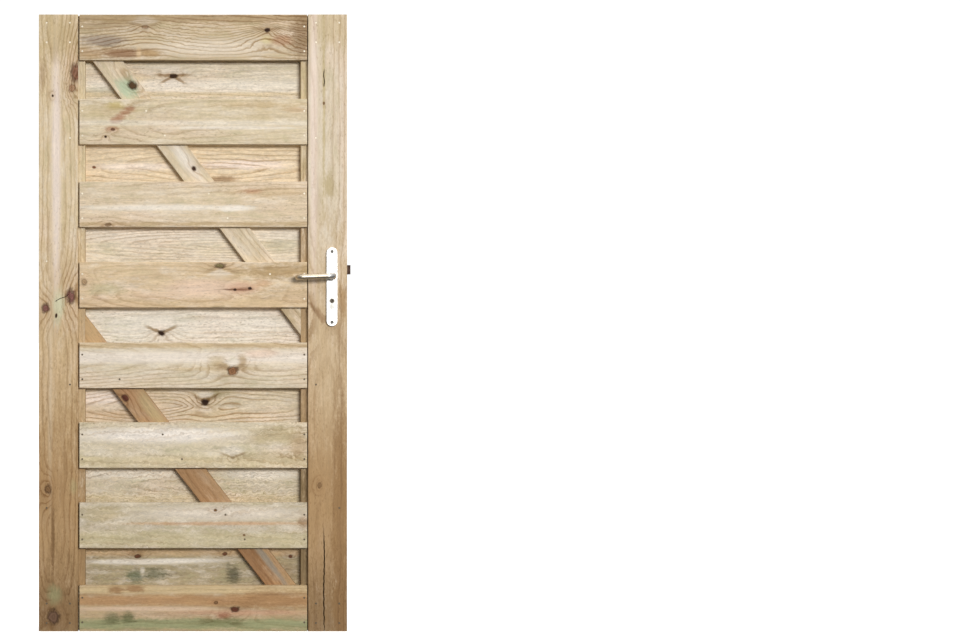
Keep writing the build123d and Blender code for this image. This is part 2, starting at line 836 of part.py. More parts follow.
def lock_nodes():
    """The mortise lock and its cylinder."""
    return {
        "lock_forend": lock_forend(),
        "lock_case": lock_case(),
        "lock_cover": lock_cover(),
        "cover_screws": cover_screws(),
        "forend_screws": forend_screws(),
        "follower_hub": follower_hub(),
        "hub_spring": hub_spring(),
        "latch_bolt": latch_bolt(),
        "latch_spring": latch_spring(),
        "deadbolt": deadbolt(),
        "cylinder_body": cylinder_body(),
        "front_plug": cylinder_plug(),
        "back_plug": mirror(cylinder_plug(), about=Plane.XZ),
        "cylinder_cam": cylinder_cam(),
        "cylinder_screw": cylinder_screw(),
    }


os.makedirs("parts", exist_ok=True)
for name, shape in {**timber_nodes(), **nail_nodes(), **handle_nodes(), **lock_nodes()}.items():
    export_step(shape, f"parts/{name}.step")
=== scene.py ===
import math

import bmesh
import bpy
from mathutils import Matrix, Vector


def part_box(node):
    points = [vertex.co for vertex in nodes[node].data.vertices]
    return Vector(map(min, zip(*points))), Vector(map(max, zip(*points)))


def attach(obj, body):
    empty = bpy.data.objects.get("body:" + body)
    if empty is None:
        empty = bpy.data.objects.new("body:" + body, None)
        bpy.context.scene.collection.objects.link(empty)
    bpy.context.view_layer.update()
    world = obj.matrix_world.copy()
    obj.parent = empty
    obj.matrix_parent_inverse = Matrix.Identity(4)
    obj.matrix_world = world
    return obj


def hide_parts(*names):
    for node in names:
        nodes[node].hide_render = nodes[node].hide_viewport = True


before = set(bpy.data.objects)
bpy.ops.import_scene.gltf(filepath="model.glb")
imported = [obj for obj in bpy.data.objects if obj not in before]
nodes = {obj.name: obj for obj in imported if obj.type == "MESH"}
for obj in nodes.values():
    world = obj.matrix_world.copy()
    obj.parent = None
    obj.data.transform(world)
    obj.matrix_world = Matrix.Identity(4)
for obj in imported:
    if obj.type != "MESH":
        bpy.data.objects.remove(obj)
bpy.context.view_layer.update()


# Core frame: two uprights and two rails of pressure-treated pine between the two skins of boards.
# The timbers are planed, nailed through the face boards, and show only as narrow ledges.

class Socket:
    """One socket of a material, so that shader maths reads as Python expressions."""

    def __init__(self, tree, end=None):
        self.tree = tree
        self.end = end

    def node(self, kind, settings=(), sockets=(), output=0):
        """Adds a node: its settings first, then the values or links of its input sockets."""
        made = self.tree.nodes.new("ShaderNode" + kind)
        for name, value in dict(settings).items():
            setattr(made, name, value)
        for name, value in dict(sockets).items():
            if isinstance(value, Socket):
                self.tree.links.new(value.end, made.inputs[name])
            else:
                made.inputs[name].default_value = value
        return Socket(self.tree, made.outputs[output])

    def maths(self, operation, *values):
        return self.node("Math", {"operation": operation}, enumerate(values))

    def __add__(self, other):
        return self.maths("ADD", self, other)

    def __radd__(self, other):
        return self.maths("ADD", other, self)

    def __sub__(self, other):
        return self.maths("SUBTRACT", self, other)

    def __rsub__(self, other):
        return self.maths("SUBTRACT", other, self)

    def __mul__(self, other):
        return self.maths("MULTIPLY", self, other)

    def __truediv__(self, other):
        return self.maths("DIVIDE", self, other)

    def __pow__(self, power):
        return self.maths("POWER", self, power)

    def __abs__(self):
        return self.maths("ABSOLUTE", self)

    def between(self, low, high):
        """0 below low, 1 above high, and a soft rise in between."""
        settings = {"interpolation_type": "SMOOTHSTEP"}
        return self.node("MapRange", settings, {0: self, 1: low, 2: high})

    def dot(self, direction):
        return self.node("VectorMath", {"operation": "DOT_PRODUCT"}, {0: self, 1: direction}, "Value")

    def noise(self, scale, detail=2.0, roughness=0.5):
        """Smooth noise about 0.5 at this place."""
        sockets = {"Vector": self, "Scale": scale, "Detail": detail, "Roughness": roughness}
        return self.node("TexNoise", (), sockets)

    def mix(self, first, second, blend="MIX"):
        """The colour between first and second that this factor gives."""
        settings = {"data_type": "RGBA", "blend_type": blend}
        return self.node("Mix", settings, {0: self, 6: first, 7: second}, 2)

    def scale(self, shade):
        """This colour, lighter where shade is above 1 and darker where it is below."""
        return self.node("VectorMath", {"operation": "SCALE"}, {0: self, "Scale": shade})

    def bump(self, distance, strength=1.0):
        """A surface normal from this height, which runs from 0 to 1 over distance in metres."""
        return self.node("Bump", (), {"Height": self, "Distance": distance, "Strength": strength})


def vector(x, y, z):
    """Three numbers or sockets, of which the first is a socket, as one vector."""
    return x.node("CombineXYZ", (), {0: x, 1: y, 2: z})


def colour(red, green, blue):
    """A colour given as it is seen on a screen, from 0 to 255, as linear light."""
    seen = [part / 255 for part in (red, green, blue)]
    return (*[s / 12.92 if s < 0.04 else ((s + 0.055) / 1.055) ** 2.4 for s in seen], 1.0)


def finish(name):
    """An empty material, its surface shader and the place on the object in metres."""
    material = bpy.data.materials.new(name)
    material.use_nodes = True
    tree = material.node_tree
    place = Socket(tree).node("TexCoord", output="Object")
    return material, tree.nodes["Principled BSDF"], place


def feed(surface, sockets):
    """Sets or links the sockets of a surface shader."""
    for name, value in sockets.items():
        if isinstance(value, Socket):
            value.tree.links.new(value.end, surface.inputs[name])
        else:
            surface.inputs[name].default_value = value


def dress(name, material):
    """Gives a CAD node its finish."""
    node = nodes[name]
    node.data.materials.clear()
    node.data.materials.append(material)


ash = colour(236, 227, 213)
rose = colour(226, 197, 174)
straw = colour(206, 184, 138)
sand = colour(208, 186, 150)
moss = colour(148, 152, 112)
olive = colour(152, 138, 96)
umber = colour(140, 106, 70)
knot_red = colour(146, 98, 72)
knot_dark = colour(64, 44, 32)
treated = colour(176, 172, 132)
late_wood = (0.60, 0.50, 0.38, 1.0)
resin = (0.62, 0.45, 0.33, 1.0)
speck = (0.50, 0.42, 0.33, 1.0)
swept = (0.46, 0.36, 0.24, 1.0)
split = (0.16, 0.11, 0.08, 1.0)


def knot(along, up, radius, heart=knot_red, swirl=3.0, oval=1.3, strength=1.0, wings=()):
    """Where a branch was cut through: its heart, and the grain that flows round it.

    A pair of wings is two dark sweeps of grain, with the pale wood between them: the side they rise on,
    1 or -1, their slope, their reach in radii, how dark they are and how pale it is between them.
    """
    return along, up, radius, heart, swirl, oval, strength, wings


def eddy(along, up, radius, swirl=4.0, oval=1.6):
    """Grain that flows round a branch below the surface."""
    return knot(along, up, radius, sand, swirl, oval, 0.0)


def stain(along, up, long, high, tint, strength=0.6):
    """A ragged patch of another tone, with its half length along the grain and half height."""
    return along, up, long, high, tint, strength


def band(up, high, tint, strength=0.6):
    """A stain that runs the whole length of the timber."""
    return stain(0.0, up, 50.0, high, tint, strength)


def trail(first, last, count, long, high, tint, strength=0.8):
    """Stains in a row, from one place to another."""
    steps = [step / (count - 1) for step in range(count)]
    return [stain(first[0] + (last[0] - first[0]) * share, first[1] + (last[1] - first[1]) * share,
                  long, high, tint, strength) for share in steps]


def pine(name, grain, across, middle, draw, tone, pith=(0.0, 0.03), ring=0.008, tilt=0.02, lines=0.7,
         bloom=0.35, green=0.3, pink=0.25, curly=1.0, flecks=0.35, coarse=0.75, knots=(), stains=()):
    """Pressure-treated pine, cut from a log whose centre lies at pith, across and behind the face.

    Places are along the grain and up across it, from the timber's middle line, in metres. Draw picks
    a stretch of noise for each timber, ring is the width of a growth ring, and tilt leans the log.
    """
    material, surface, place = finish(name)
    along = place.dot(grain)
    up = place.dot(across) - middle
    deep = place.dot((0, 1, 0))
    start = draw * 1.7

    def noise(lengthwise, crosswise, shift, detail=2.0, roughness=0.5, height=up):
        """Noise with so many patches a metre along the grain and across it."""
        return vector(along * lengthwise + (start + shift), height * crosswise,
                      deep * crosswise + draw).noise(1.0, detail, roughness)

    # The fibres: small curls, a slow wander of the whole log, fine streaks and a blotchy haze.
    curl_swing = 0.0045
    curl = noise(62.0, 75.0, 15.0) - 0.5
    level = up + curl * (curl_swing * curly)
    wander = noise(1.4, 0.0, 0.0, 1.0) - 0.5
    ripple = noise(7.0, 22.0, 3.0, 3.0) - 0.5
    fibre = noise(22.0, 520.0, 5.0, height=level)
    streak = noise(10.0, 125.0, 7.0, 4.0, 0.7, level)
    mottle = noise(95.0, 190.0, 19.0, 3.0, 0.65, level)
    cloud = noise(12.0, 36.0, 9.0, 6.0, 0.75, level)
    haze = noise(2.5, 9.0, 11.0, 3.0, 0.6)
    fleck = noise(90.0, 260.0, 13.0, 1.0)
    grit = (cloud - 0.5) * 1.5 + (streak - 0.5) * 0.6 + (mottle - 0.5) * 0.6

    # The tone of the wood: weathered to ash, tinted green by the treatment, rosy in places, and stained.
    tone = (cloud.between(0.45, 0.66) * bloom).mix(tone, ash)
    tone = ((1 - cloud.between(0.34, 0.5)) * green).mix(tone, treated)
    tone = (haze.between(0.48, 0.66) * pink).mix(tone, rose)
    for spot, height, long, high, tint, strength in stains:
        away_along = (along - spot) * (1 / long)
        away_up = (up - height) * (1 / high)
        away = (away_along * away_along + away_up * away_up) ** 0.5 + grit
        tone = ((1 - away.between(0.35, 1.35)) * strength).mix(tone, tint)

    # The growth rings round the pith, counted outwards. They blur where the face lies along a ring.
    wander_aside = 0.05
    wander_deep = 0.03
    ripple_swing = 0.014
    side = level - pith[0] + wander * wander_aside
    depth = deep - pith[1] + along * tilt + wander * wander_deep
    reach_of_ring = (side * side + depth * depth) ** 0.5
    growth = (reach_of_ring + ripple * ripple_swing) * (1 / ring)
    steep = (abs(side) / reach_of_ring).between(0.08, 0.5)

    # The knots: rings flow round each one, with a ringed heart and a dark ragged rim.
    flow_along = 0.07
    flow_up = 0.14
    heart_rings = 6.3
    nothing = along * 0.0
    busy = nothing
    rim = nothing
    wing = nothing
    for spot, height, radius, heart, swirl, oval, strength, wings in knots:
        far_along = (along - spot) * (1 / (radius * oval)) + curl * 1.1
        far_up = (up - height) * (1 / radius) + curl * 0.9
        far = (far_along * far_along + far_up * far_up) ** 0.5
        spread = far_along * far_along * -flow_along - far_up * far_up * flow_up
        push = spread.maths("EXPONENT", spread)
        growth = growth + push * swirl
        busy = busy.maths("MAXIMUM", busy, push * 0.8)
        for rise, slope, reach, dark, pale in wings:
            fold = far_up * rise - abs(far_along) * slope + far * 0.12
            near = 1 - (far + grit).between(reach * 0.55, reach)
            sweep = (1 - abs(fold).between(0.2, 1.0)) * near * dark
            wing = wing.maths("MAXIMUM", wing, sweep * (0.55 + mottle))
            tone = (fold.between(0.5, 1.6) * near * pale).mix(tone, ash)
        if strength:
            ragged = far + (mottle - 0.5) * 0.9
            tone = (push * (0.3 * strength)).mix(tone, resin, "MULTIPLY")
            tone = ((1 - ragged.between(0.65, 1.1)) * strength).mix(tone, heart)
            turns = far * heart_rings
            rings = abs(turns.maths("SINE", turns))
            tone = ((1 - ragged.between(0.7, 1.1)) * rings * 0.4).mix(tone, knot_dark)
            edge = 1 - abs(ragged - 1.0).between(0.05, 0.45)
            rim = rim.maths("MAXIMUM", rim, edge * mottle.between(0.35, 0.55) * strength)

    # The face: late wood darkens the outer part of each ring, and fibres and specks break it up.
    late_begins = 0.5
    late_full = 0.88
    late_ends = 0.9
    phase = growth.maths("FRACT", growth)
    late = phase.between(late_begins, late_full) * (1 - phase.between(late_ends, 1.0))
    line = late * (haze * 1.4 - 0.1 + busy * 0.7) * (steep * 0.8 + 0.2)
    wood = (line * lines).mix(tone, late_wood, "MULTIPLY")
    relief = (streak - 0.5) * 0.8 + (mottle - 0.5) * 0.6 + (fibre - 0.5) * 0.35
    wood = wood.scale(0.99 + relief * coarse)
    specks = fleck.between(0.62, 0.7) * haze.between(0.38, 0.56) * flecks
    wood = specks.mix(wood, speck, "MULTIPLY")
    wood = (rim * 0.7).mix(wood, split, "MULTIPLY")
    wood = wing.mix(wood, swept, "MULTIPLY")

    grain_relief = 0.0006
    height = late * 0.35 + fibre * 0.4 + mottle * 0.3 - rim * 0.5
    feed(surface, {
        "Base Color": wood,
        "Roughness": 0.84 - late * 0.14 + fibre * 0.08,
        "Specular IOR Level": 0.2,
        "Normal": height.bump(grain_relief, 0.6),
    })
    return material


def centre_of(name):
    """The middle of a CAD node's box."""
    low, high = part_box(name)
    return (low + high) / 2


lengthwise = (1, 0, 0)
upwards = (0, 0, 1)
rail_tone = colour(200, 178, 140)

# The uprights are stained darker towards the foot, and the right one darker than the left: partly their own
# colour, partly painted shade where the light falls off towards the bottom and where the right stile shades
# the right ledge.
dress("core_upright_left", pine(
    "left_upright_pine", upwards, lengthwise, centre_of("core_upright_left").x, 1.3, colour(214, 196, 160),
    pith=(0.02, 0.05), lines=0.5,
    stains=[stain(0.7, 0.0, 0.5, 1.0, colour(188, 158, 118), 0.7),
            stain(0.1, 0.0, 0.5, 1.0, colour(158, 126, 86), 0.9)]))
dress("core_upright_right", pine(
    "right_upright_pine", upwards, lengthwise, centre_of("core_upright_right").x, 2.9, colour(204, 184, 146),
    pith=(-0.03, 0.04), lines=0.5,
    stains=[stain(0.8, 0.0, 0.5, 1.0, colour(166, 136, 98), 0.8),
            stain(0.1, 0.0, 0.5, 1.0, colour(128, 106, 74), 0.9)]))
for name, draw in (("core_rail_top", 4.1), ("core_rail_bottom", 5.7)):
    dress(name, pine(name + "_pine", lengthwise, upwards, centre_of(name).z, draw, rail_tone))


# Braces: two planks between the uprights, leaning the same way, which keep the leaf square.
# The upper one is pale with a green patch near its top, the lower one is orange-brown heartwood.

def brace(name, lean, draw, tone, knots, stains, **looks):
    """Knots and stains are given by their place on the leaf, in x and z, and turned to the grain."""
    down_right = (math.sin(lean), 0, -math.cos(lean))
    sideways = (math.cos(lean), 0, math.sin(lean))
    centre = centre_of(name)
    middle = centre.x * sideways[0] + centre.z * sideways[2]

    def turned(feature):
        x, z = feature[:2]
        along = x * down_right[0] + z * down_right[2]
        return along, x * sideways[0] + z * sideways[2] - middle, *feature[2:]

    dress(name, pine(name + "_pine", down_right, sideways, middle, draw, tone,
                     knots=[turned(k) for k in knots], stains=[turned(s) for s in stains], **looks))


brace("brace_upper", math.radians(37.2), 6.2, colour(214, 196, 166),
      knots=[knot(-0.178, 1.596, 0.0105, colour(92, 70, 44), 1.5, 1.4),
             knot(0.003, 1.352, 0.006, knot_dark, 1.0),
             eddy(-0.215, 1.635, 0.016, 4.0, 1.4)],
      stains=[stain(-0.192, 1.592, 0.042, 0.030, colour(184, 202, 172), 0.85),
              stain(-0.215, 1.635, 0.03, 0.02, colour(226, 206, 176), 0.6),
              stain(-0.02, 1.375, 0.09, 0.018, ash, 0.8),
              stain(0.10, 1.12, 0.2, 0.012, colour(170, 136, 92), 0.75),
              stain(0.25, 0.93, 0.12, 0.05, colour(172, 150, 108), 0.6)],
      pith=(0.01, 0.04), ring=0.009)
brace("brace_lower", math.radians(38.0), 8.8, colour(174, 139, 100),
      knots=[knot(-0.199, 0.68, 0.0085, colour(110, 62, 48), 1.5)],
      stains=[stain(-0.32, 0.87, 0.09, 0.05, colour(200, 168, 124), 0.8),
              stain(-0.125, 0.65, 0.09, 0.018, colour(188, 166, 124), 0.8),
              stain(-0.185, 0.70, 0.04, 0.03, colour(186, 146, 108), 0.7),
              stain(0.0, 0.42, 0.12, 0.05, colour(164, 126, 88), 0.8),
              stain(0.17, 0.19, 0.12, 0.05, colour(150, 110, 74), 0.85),
              stain(0.22, 0.20, 0.10, 0.010, colour(150, 140, 124), 0.8),
              stain(0.13, 0.225, 0.05, 0.008, colour(164, 98, 68), 0.7)],
      pith=(0.0, 0.05), ring=0.011, bloom=0.1, green=0.15, pink=0.1)


# Back boards: seven planed boards behind the gaps between the front ones, nailed to the core from behind.
# Sheltered by the front boards, they stayed paler.

spot_red = colour(120, 78, 54)
back_boards = [
    dict(tone=colour(215, 202, 178), pith=(0.0, 0.06), lines=0.5, flecks=0.5, coarse=1.05,
         knots=[knot(-0.059, 0.017, 0.0070, colour(84, 62, 42), 2.5, 1.7,
                     wings=[(1, 0.3, 5.0, 0.8, 0.5), (-1, 1.1, 5.5, 0.8, 0.7)])],
         stains=[band(-0.014, 0.022, ash, 0.55), stain(-0.28, -0.03, 0.06, 0.02, moss, 0.3),
                 band(-0.036, 0.007, colour(206, 186, 148), 0.6),
                 stain(-0.175, 0.01, 0.05, 0.012, straw, 0.4)]),
    dict(tone=colour(226, 206, 174), pith=(-0.01, 0.02), ring=0.009, tilt=0.10, lines=0.8, bloom=0.2,
         green=0.1, coarse=1.05,
         knots=[knot(-0.292, -0.008, 0.004, knot_red, 1.0), eddy(0.13, -0.002, 0.012, 1.5, 6.0)],
         stains=[stain(-0.16, -0.006, 0.15, 0.012, colour(240, 224, 208), 0.8),
                 stain(0.15, 0.0, 0.14, 0.015, colour(240, 222, 208), 0.85),
                 stain(0.09, -0.044, 0.05, 0.014, umber, 0.65)]),
    dict(tone=colour(222, 208, 184), pith=(0.0, 0.02), ring=0.008, tilt=0.09, lines=0.8, coarse=1.05,
         stains=[band(0.03, 0.02, ash, 0.5), stain(0.26, 0.0, 0.07, 0.02, colour(190, 182, 150), 0.5)]),
    dict(tone=colour(226, 218, 202), pith=(0.01, 0.08), ring=0.006, lines=0.6, bloom=0.5, flecks=0.5,
         coarse=1.05,
         knots=[knot(-0.093, -0.024, 0.0085, knot_dark, 2.5, 1.3, wings=[(1, 0.75, 6.0, 0.85, 0.95)])],
         stains=[stain(0.15, 0.0, 0.2, 0.02, ash, 0.5)]),
    dict(tone=colour(210, 194, 166), pith=(-0.015, 0.012), ring=0.008, tilt=-0.12, lines=1.0, coarse=1.05,
         knots=[knot(0.0356, 0.0066, 0.0095, knot_dark, 4.0, 1.2,
                     wings=[(1, 0.85, 4.5, 0.65, 0.7), (-1, 1.0, 4.0, 0.3, 0.6)]),
                eddy(-0.02, -0.02, 0.012, 2.0, 1.2), eddy(0.12, -0.01, 0.014, 1.5)],
         stains=[stain(0.045, 0.032, 0.05, 0.018, olive, 0.6), stain(0.06, -0.025, 0.09, 0.02, sand, 0.6),
                 stain(-0.27, 0.020, 0.10, 0.022, colour(240, 224, 210), 0.9),
                 stain(-0.24, -0.03, 0.09, 0.016, colour(196, 164, 124), 0.5)]),
    dict(tone=colour(206, 192, 166), pith=(0.0, 0.03), ring=0.008, tilt=0.08, lines=0.8, curly=6.0,
         green=0.4, coarse=1.2,
         stains=[stain(0.21, 0.03, 0.12, 0.02, ash, 0.7), stain(-0.2, 0.03, 0.2, 0.018, ash, 0.6),
                 band(-0.05, 0.02, straw, 0.4)]),
    dict(tone=colour(168, 153, 122), pith=(0.0, 0.04), ring=0.009, lines=0.6, curly=3.5, green=0.35,
         flecks=0.5, coarse=1.1,
         knots=[knot(-0.163, 0.024, 0.0055, spot_red, 2.0, 1.6), knot(0.094, 0.031, 0.005, spot_red, 2.0),
                knot(0.288, 0.024, 0.005, spot_red, 2.0)],
         stains=[band(0.037, 0.014, colour(200, 168, 128), 0.65), stain(-0.15, 0.008, 0.2, 0.009, ash, 0.8),
                 stain(0.0, 0.012, 0.12, 0.007, ash, 0.7),
                 stain(-0.170, -0.034, 0.032, 0.020, colour(100, 108, 82), 0.8),
                 stain(-0.112, -0.028, 0.042, 0.020, colour(104, 104, 78), 0.75),
                 stain(-0.149, -0.018, 0.008, 0.011, ash, 0.5),
                 stain(0.120, -0.030, 0.022, 0.026, colour(84, 82, 60), 0.8),
                 stain(0.104, -0.006, 0.008, 0.014, colour(112, 106, 80), 0.6),
                 stain(0.26, -0.02, 0.06, 0.03, umber, 0.3)]),
]
for row, looks in enumerate(back_boards, 1):
    name = "back_board_" + str(row)
    dress(name, pine(name + "_pine", lengthwise, upwards, centre_of(name).z, 10.0 + row * 2.3, **looks))


# Front boards: eight planed boards with eased edges, nailed at both ends and where they cross a brace.
# Each is flat-sawn, with a bleached band along its middle and a green tint from the treatment.

front_boards = [
    dict(tone=colour(200, 180, 148), pith=(0.085, 0.03), ring=0.008, tilt=0.05, lines=1.2, pink=0.35,
         knots=[knot(0.217, 0.021, 0.0062, knot_dark, 3.0, 1.2, wings=[(1, 0.3, 8.0, 0.5, 0.0)]),
                eddy(0.216, -0.008, 0.014, 4.4, 1.8), eddy(-0.14, -0.006, 0.016, 3.0, 2.4),
                knot(-0.139, 0.030, 0.006, colour(176, 138, 104), 2.0, 1.6, 0.6, [(1, 0.5, 6.0, 0.3, 0.3)])],
         stains=[band(0.056, 0.014, colour(166, 140, 102), 0.75),
                 stain(0.05, -0.03, 0.2, 0.026, colour(226, 212, 192), 0.7),
                 stain(-0.265, -0.01, 0.08, 0.018, colour(160, 144, 128), 0.9),
                 stain(-0.25, 0.035, 0.12, 0.022, colour(164, 140, 104), 0.6),
                 stain(-0.205, -0.047, 0.07, 0.016, colour(148, 112, 82), 0.85),
                 stain(-0.30, -0.045, 0.05, 0.018, colour(172, 138, 98), 0.6),
                 stain(-0.122, -0.046, 0.04, 0.012, colour(172, 138, 92), 0.75),
                 stain(-0.158, -0.046, 0.008, 0.018, colour(212, 184, 146), 0.9),
                 stain(0.32, 0.0, 0.04, 0.07, colour(138, 110, 76), 0.8),
                 stain(0.216, -0.008, 0.02, 0.012, colour(214, 200, 150), 0.6),
                 stain(0.26, -0.008, 0.035, 0.018, colour(172, 126, 94), 0.65)]),
    dict(tone=colour(211, 194, 163), pith=(0.01, 0.05), ring=0.008, lines=0.55,
         knots=[knot(-0.234, -0.023, 0.0042, colour(118, 82, 62), 1.5, 1.5),
                knot(-0.255, -0.044, 0.0036, knot_dark, 1.5, 1.1),
                eddy(-0.205, 0.02, 0.016, 2.0)],
         stains=[stain(-0.25, 0.035, 0.10, 0.022, colour(192, 172, 132), 0.6),
                 stain(-0.225, 0.046, 0.035, 0.012, colour(204, 186, 130), 0.8),
                 *trail((-0.185, 0.037), (-0.226, 0.004), 4, 0.017, 0.010, colour(166, 116, 86), 0.7),
                 stain(-0.238, -0.022, 0.022, 0.009, colour(182, 140, 110), 0.7),
                 stain(0.12, -0.018, 0.2, 0.006, ash, 0.7), band(-0.004, 0.008, ash, 0.4),
                 stain(0.30, 0.034, 0.04, 0.010, colour(186, 146, 108), 0.6),
                 stain(0.24, 0.03, 0.12, 0.03, colour(200, 180, 144), 0.5),
                 stain(0.2, 0.05, 0.15, 0.010, colour(200, 176, 136), 0.6)]),
    dict(tone=colour(213, 194, 164), pith=(-0.01, 0.07), ring=0.007, lines=0.55,
         knots=[knot(-0.248, -0.060, 0.005, umber, 1.5, 1.8, 0.7)],
         stains=[stain(-0.10, -0.010, 0.24, 0.010, colour(238, 228, 212), 0.85),
                 stain(0.12, -0.012, 0.06, 0.009, ash, 0.8),
                 stain(0.22, 0.035, 0.12, 0.016, colour(204, 178, 140), 0.6),
                 stain(0.17, 0.038, 0.03, 0.008, colour(190, 144, 110), 0.6),
                 band(-0.057, 0.006, colour(176, 146, 98), 0.5)]),
    dict(tone=colour(213, 189, 154), pith=(0.0, 0.05), ring=0.008, lines=0.6, pink=0.4, green=0.15,
         knots=[knot(0.079, 0.055, 0.008, olive, 2.0, 1.8, wings=[(-1, 0.9, 5.0, 0.35, 0.5)]),
                knot(0.123, -0.014, 0.0036, knot_dark, 2.0, 1.2),
                knot(0.1665, -0.010, 0.0042, knot_dark, 2.5, 1.4),
                eddy(0.146, -0.010, 0.012, 2.0, 3.0), eddy(0.205, -0.008, 0.013, 2.0, 1.4),
                knot(-0.318, 0.008, 0.010, colour(176, 140, 98), 3.5, 0.8, 0.6),
                eddy(-0.27, -0.004, 0.012, 1.5)],
         stains=[stain(0.04, -0.008, 0.12, 0.026, rose, 0.7),
                 stain(0.26, 0.040, 0.12, 0.024, colour(168, 140, 98), 0.8),
                 stain(0.28, -0.03, 0.10, 0.024, colour(194, 168, 132), 0.6),
                 stain(0.15, -0.008, 0.05, 0.018, colour(214, 172, 144), 0.6),
                 stain(0.205, 0.006, 0.03, 0.012, colour(188, 148, 112), 0.6),
                 stain(0.125, -0.014, 0.055, 0.0028, colour(118, 84, 62), 0.8),
                 stain(0.150, -0.013, 0.030, 0.0060, colour(150, 108, 82), 0.6),
                 stain(-0.25, -0.012, 0.06, 0.018, colour(186, 176, 140), 0.6),
                 stain(0.077, -0.064, 0.03, 0.006, colour(140, 126, 92), 0.6),
                 band(-0.055, 0.014, colour(206, 178, 138), 0.5)]),
    dict(tone=colour(212, 197, 170), pith=(0.01, 0.03), ring=0.008, tilt=-0.06, lines=0.75,
         knots=[knot(0.1156, -0.016, 0.0125, colour(170, 124, 88), 1.0, 1.2,
                     wings=[(1, 0.75, 3.6, 0.4, 0.9)]),
                eddy(0.066, 0.010, 0.012, 3.0, 1.2), eddy(0.146, 0.016, 0.008, 2.5, 1.0)],
         stains=[band(0.058, 0.008, colour(196, 168, 126), 0.65),
                 band(0.024, 0.020, colour(234, 222, 208), 0.8),
                 stain(0.075, 0.008, 0.034, 0.022, colour(188, 166, 122), 0.6),
                 stain(0.143, 0.014, 0.016, 0.018, colour(170, 142, 96), 0.65),
                 stain(0.115, 0.012, 0.014, 0.014, colour(222, 214, 184), 0.9),
                 stain(0.02, -0.01, 0.2, 0.008, colour(198, 174, 134), 0.5),
                 stain(0.20, 0.036, 0.05, 0.014, rose, 0.6)]),
    dict(tone=colour(207, 193, 166), pith=(0.0, 0.04), ring=0.009, tilt=0.04, lines=0.6, curly=5.5,
         green=0.35, coarse=0.95,
         knots=[knot(0.1156, -0.036, 0.005, straw, 2.0, 1.2, 0.4, [(1, 0.6, 9.0, 0.5, 0.4)]),
                eddy(0.22, -0.012, 0.010, 1.5, 4.0)],
         stains=[stain(-0.10, 0.030, 0.26, 0.024, colour(238, 228, 216), 0.9),
                 stain(0.25, 0.030, 0.10, 0.030, colour(188, 170, 132), 0.75),
                 band(-0.048, 0.018, colour(206, 188, 148), 0.6),
                 stain(0.31, 0.0, 0.03, 0.05, colour(180, 152, 116), 0.6),
                 stain(0.23, -0.035, 0.1, 0.02, colour(186, 168, 132), 0.6)]),
    dict(tone=colour(194, 180, 154), pith=(0.0, 0.04), ring=0.009, tilt=0.04, lines=0.55, curly=5.0,
         green=0.4, coarse=0.95,
         knots=[knot(0.066, 0.045, 0.0038, umber, 1.0), knot(0.149, -0.028, 0.003, umber, 1.0),
                eddy(0.04, 0.008, 0.008, 1.2, 4.0)],
         stains=[stain(0.09, 0.036, 0.26, 0.022, colour(222, 209, 192), 0.8),
                 stain(0.08, 0.006, 0.3, 0.006, colour(198, 152, 112), 0.6),
                 band(-0.040, 0.026, colour(196, 182, 142), 0.6),
                 stain(-0.26, 0.03, 0.06, 0.03, colour(190, 172, 132), 0.5),
                 stain(0.325, 0.01, 0.02, 0.02, umber, 0.6)]),
    dict(tone=colour(180, 155, 118), pith=(0.0, 0.05), ring=0.010, lines=0.6, bloom=0.15, pink=0.3,
         knots=[knot(0.123, -0.002, 0.0085, colour(112, 66, 48), 3.0, 1.5, wings=[(1, 0.4, 5.0, 0.3, 0.0)]),
                knot(0.067, 0.017, 0.004, umber, 1.5), eddy(0.10, -0.012, 0.012, 1.5, 2.0)],
         stains=[band(0.054, 0.012, colour(208, 184, 142), 0.8),
                 band(0.024, 0.018, colour(180, 138, 96), 0.8),
                 stain(-0.224, 0.054, 0.026, 0.012, colour(150, 112, 74), 0.8),
                 stain(-0.170, 0.057, 0.034, 0.011, colour(150, 112, 74), 0.8),
                 stain(0.24, 0.026, 0.12, 0.036, colour(164, 126, 86), 0.75),
                 stain(-0.15, -0.001, 0.25, 0.008, colour(214, 186, 158), 0.85),
                 stain(0.15, -0.012, 0.22, 0.009, colour(196, 154, 124), 0.7),
                 band(-0.046, 0.017, moss, 0.85),
                 stain(0.087, -0.022, 0.022, 0.012, colour(160, 104, 78), 0.7),
                 stain(-0.236, -0.030, 0.026, 0.018, colour(106, 106, 72), 0.8),
                 stain(-0.188, -0.028, 0.022, 0.020, colour(100, 102, 68), 0.8),
                 stain(0.09, -0.04, 0.06, 0.014, colour(114, 114, 74), 0.7)]),
]
for row, looks in enumerate(front_boards, 1):
    name = "front_board_" + str(row)
    dress(name, pine(name + "_pine", lengthwise, upwards, centre_of(name).z, 30.0 + row * 2.9, **looks))
